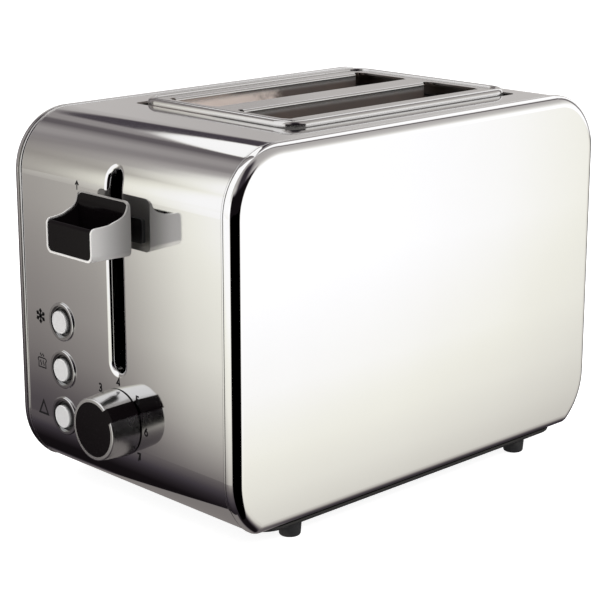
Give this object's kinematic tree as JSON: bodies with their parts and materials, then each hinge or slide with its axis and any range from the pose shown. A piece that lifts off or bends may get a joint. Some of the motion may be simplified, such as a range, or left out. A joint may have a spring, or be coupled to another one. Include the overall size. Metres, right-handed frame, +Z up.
{
  "type": "pop up toaster",
  "caption": "Pop-up toaster with a polished wrap-round steel shell, flat side panels, raised slot frame, end lever, push buttons, browning knob and crumb tray.",
  "frame": {"origin": "on the floor, under the middle of the whole object's box", "axes": "+Z up; +X along the shell's length, from the control end to the far end; +Y towards the rear side panel"},
  "size_m": [0.3024, 0.171, 0.2031],
  "materials": {
    "steel_polished": "polished stainless steel with a faint fine grain",
    "steel_panel": "mirror-polished stainless steel",
    "steel_zinc": "zinc-coated sheet steel, dull spangle",
    "steel_bright": "bright drawn steel wire and rod",
    "steel_reflector": "aluminised reflector sheet, heat tinted",
    "chrome_trim": "bright chrome plate",
    "iron": "soft iron laminations",
    "copper": "enamelled copper winding",
    "brass": "rolled brass",
    "nichrome": "oxidised resistance ribbon",
    "mica": "layered mica sheet",
    "printed_ink": "black pad print",
    "plastic_base": "fine-textured black heat-resistant plastic",
    "plastic_gloss": "glossy black moulded plastic",
    "plastic_button": "silver-painted plastic button",
    "plastic_inner": "black glass-filled plastic",
    "rubber_feet": "black rubber",
    "board": "brown paper-phenolic circuit board"
  },
  "bodies": {
    "root": {"shell_band": "steel_polished", "side_panel_front": "steel_panel", "side_panel_rear": "steel_panel", "side_frame_front": "plastic_inner", "side_frame_rear": "plastic_inner", "slot_frame": "steel_polished", "slot_well": "plastic_inner", "base_plate": "plastic_base", "feet": "rubber_feet", "foot_screws": "steel_zinc", "return_spring": "steel_bright", "guide_rod": "steel_bright", "top_bracket": "steel_zinc", "mechanism_deck": "steel_zinc", "magnet_core": "iron", "magnet_coil": "copper", "contact_block": "plastic_inner", "contact_leaves": "brass", "chassis_plate_control": "steel_zinc", "chassis_plate_far": "steel_zinc", "mica_cards": "mica", "heater_ribbons": "nichrome", "reflectors": "steel_reflector", "rotary_control": "plastic_inner", "button_bezels": "chrome_trim", "push_switches": "plastic_inner", "control_board": "board", "board_parts": "plastic_inner", "board_posts": "plastic_inner", "cord_gland": "plastic_base", "terminal_block": "plastic_inner", "button_spring_top": "steel_bright", "button_spring_middle": "steel_bright", "button_spring_bottom": "steel_bright"},
    "lever": {"lever_shell": "chrome_trim", "lever_insert": "plastic_gloss", "lever_stem": "plastic_inner", "carriage": "steel_zinc", "carriage_bushes": "plastic_inner", "keeper": "iron", "bread_rack_front": "steel_bright", "bread_rack_rear": "steel_bright"},
    "knob": {"knob_sleeve": "chrome_trim", "knob_core": "plastic_gloss", "knob_shaft": "steel_bright"},
    "tray": {"crumb_tray": "steel_zinc", "tray_grip": "plastic_base"},
    "button_top": {"button_top": "plastic_button"},
    "button_middle": {"button_middle": "plastic_button"},
    "button_bottom": {"button_bottom": "plastic_button"},
    "guard_front_outer": {"guard_front_outer": "steel_bright"},
    "guard_front_inner": {"guard_front_inner": "steel_bright"},
    "guard_rear_outer": {"guard_rear_outer": "steel_bright"},
    "guard_rear_inner": {"guard_rear_inner": "steel_bright"}
  },
  "joints": [
    {"name": "lever_slide", "type": "slide", "parent": "root", "child": "lever", "axis": [0, 0, 1], "range_m": [-0.068, 0.013], "stiffness_N_per_m": 150, "springref_m": 0.012, "deforming": ["return_spring"]},
    {"name": "knob_turn", "type": "hinge", "parent": "root", "child": "knob", "pos_m": [-0.12385, 0.0012, 0.0516], "axis": [1, 0, 0], "range_deg": [-186, 84]},
    {"name": "tray_slide", "type": "slide", "parent": "root", "child": "tray", "axis": [1, 0, 0], "range_m": [0, 0.16]},
    {"name": "button_top_press", "type": "slide", "parent": "root", "child": "button_top", "axis": [1, 0, 0], "range_m": [0, 0.002], "stiffness_N_per_m": 400, "springref_m": -0.0015, "deforming": ["button_spring_top"]},
    {"name": "button_middle_press", "type": "slide", "parent": "root", "child": "button_middle", "axis": [1, 0, 0], "range_m": [0, 0.002], "stiffness_N_per_m": 400, "springref_m": -0.0015, "deforming": ["button_spring_middle"]},
    {"name": "button_bottom_press", "type": "slide", "parent": "root", "child": "button_bottom", "axis": [1, 0, 0], "range_m": [0, 0.002], "stiffness_N_per_m": 400, "springref_m": -0.0015, "deforming": ["button_spring_bottom"]},
    {"name": "guard_front_outer_slide", "type": "slide", "parent": "root", "child": "guard_front_outer", "axis": [0, 1, 0], "range_m": [-0.00078, 0.00408]},
    {"name": "guard_front_inner_slide", "type": "slide", "parent": "root", "child": "guard_front_inner", "axis": [0, -1, 0], "range_m": [-0.00078, 0.00408]},
    {"name": "guard_rear_outer_slide", "type": "slide", "parent": "root", "child": "guard_rear_outer", "axis": [0, -1, 0], "range_m": [-0.00078, 0.00408]},
    {"name": "guard_rear_inner_slide", "type": "slide", "parent": "root", "child": "guard_rear_inner", "axis": [0, 1, 0], "range_m": [-0.00078, 0.00408]}
  ],
  "couplings": [
    {"joint": "guard_front_outer_slide", "follows": "lever_slide", "ratio": -0.06},
    {"joint": "guard_front_inner_slide", "follows": "lever_slide", "ratio": -0.06},
    {"joint": "guard_rear_outer_slide", "follows": "lever_slide", "ratio": -0.06},
    {"joint": "guard_rear_inner_slide", "follows": "lever_slide", "ratio": -0.06}
  ]
}
